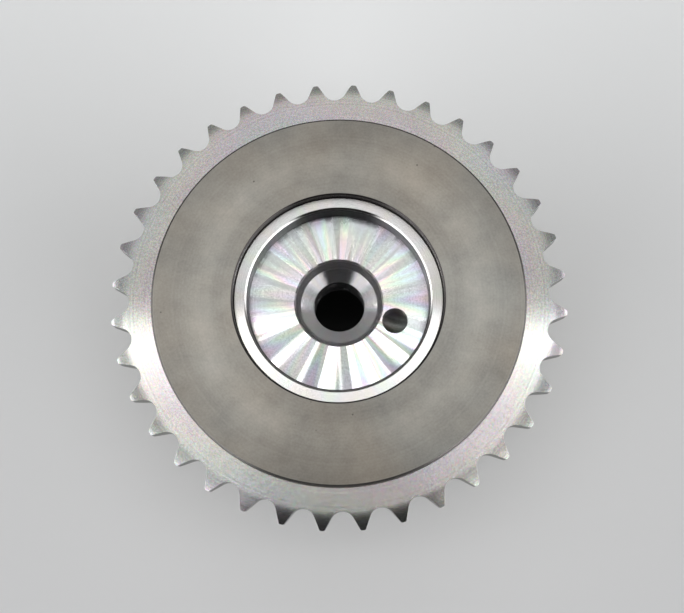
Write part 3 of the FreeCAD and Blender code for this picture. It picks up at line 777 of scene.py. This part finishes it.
def make_floor():
    """Pale card, painted a little lighter on the far side and darker on the near side as shade, and
    painted near black right under the part as its shadow.
    """
    shaded_near_card, lit_far_card = (0.72, 0.72, 0.725, 1), (0.96, 0.97, 0.97, 1)
    lighter_from, lighter_to = -0.12, 0.10
    half_side = 3
    material = new_material("pale_card")
    ground = Ground(material)
    # Painted shade: the card is darker on the near side.
    card = ground.y.step(lighter_from, lighter_to).blend(shaded_near_card, lit_far_card)
    # Painted shadow: near black right under the part.
    colour = ground.inside(18 * MM, blur=4 * MM).blend(card, grey(0.01))
    show(material, colour.node("BsdfPrincipled", {}, {"Base Color": colour, "Roughness": 0.8}))
    add_sheet("floor", -half_side, half_side, -half_side, half_side, 0, material)


def make_dark_card():
    """A dark card just over the camera, that keeps light off the near side as the viewer does."""
    material = new_material("dark_card")
    root = Shade(material.node_tree)
    show(material, root.node("BsdfDiffuse", {}, {"Color": grey(0.015)}))
    left, right, near, far, height = -0.06, 0.07, -0.20, -0.035, 0.256
    add_sheet("dark_card", left, right, near, far, height, material).visible_camera = False


def make_world():
    """A light tent: a soft leaning ceiling, grey shoulders, bright low walls, a dark opening."""
    lean = math.radians(13)
    near_shoulders, far_shoulders = grey(0.80), grey(0.27)
    near_ceiling, far_ceiling = (0.50, 0.505, 0.51, 1), grey(0.92)
    bright_walls, dark_opening = (5.4, 5.42, 5.45, 1), grey(0.02)
    backdrop = (0.72, 0.73, 0.74, 1)
    world = bpy.data.worlds.new("light_tent")
    bpy.context.scene.world = world
    world.use_nodes = True
    world.node_tree.nodes.clear()
    root = Shade(world.node_tree)
    direction = root.node("TexCoord", output="Generated")
    x, y, up = direction.part("X"), direction.part("Y"), direction.part("Z")
    away = y / (x * x + y * y).square_root()
    ceiling = (up * math.cos(lean) + y * math.sin(lean)).step(0.76, 0.92)
    near = away.step(-0.20, -0.50)
    walls = up.step(0.43, 0.32) * up.step(-0.06, -0.02) * away.step(0.45, 0.15)
    opening = away.step(-0.74, -0.90) * (1 - ceiling)
    shoulders = near.blend(far_shoulders, near_shoulders)
    overhead = y.step(0.15, 0.60).blend(near_ceiling, far_ceiling)
    room = ceiling.blend(shoulders, overhead)
    room = walls.blend(room, bright_walls)
    room = opening.blend(room, dark_opening)
    colour = root.node("LightPath", output="Is Camera Ray").blend(room, backdrop)
    background = root.node("Background", {}, {"Color": colour, "Strength": 1.0})
    output = world.node_tree.nodes.new("ShaderNodeOutputWorld")
    world.node_tree.links.new(background.socket, output.inputs["Surface"])


def make_lamp(name, centre, width, radiance):
    """A long level lamp that shines straight down."""
    length = 0.9
    light = bpy.data.lights.new(name, "AREA")
    light.shape = "RECTANGLE"
    light.size = length
    light.size_y = width
    light.energy = radiance * math.pi * length * width
    add_thing(name, light).location = centre


def make_camera():
    """The photo's viewpoint, from a fit of the wheel's and the bores' circles in it."""
    tilt, sideways = math.radians(11.84), math.radians(5.1)
    distance = 216 * MM
    disc_face = 34.3 * MM
    right_shift, up_shift = 0.79 * MM, -2.13 * MM
    pixels_a_metre = 4.87 / MM
    image_width = 684
    looks_back = Vector(
        (
            math.sin(tilt) * math.sin(sideways),
            -math.sin(tilt) * math.cos(sideways),
            math.cos(tilt),
        )
    )
    turn = AXIS.rotation_difference(looks_back)
    data = bpy.data.cameras.new("camera")
    data.sensor_fit = "HORIZONTAL"
    data.sensor_width = 36
    data.lens = pixels_a_metre * distance / image_width * data.sensor_width
    data.clip_start = 0.01
    camera = add_thing("camera", data)
    camera.rotation_mode = "QUATERNION"
    camera.rotation_quaternion = turn
    camera.location = turn @ Vector((right_shift, up_shift, distance)) + AXIS * disc_face
    bpy.context.scene.camera = camera


make_floor()
make_dark_card()
make_world()
make_lamp("strip_lamp", centre=(0, 0.091, 0.634), width=0.052, radiance=1.0)
make_lamp("inner_lamp", centre=(0, 0.082, 0.636), width=0.024, radiance=3.8)
make_lamp("wide_lamp", centre=(0, 0.030, 0.640), width=0.066, radiance=0.5)
make_camera()
bpy.context.scene.view_settings.view_transform = "Standard"
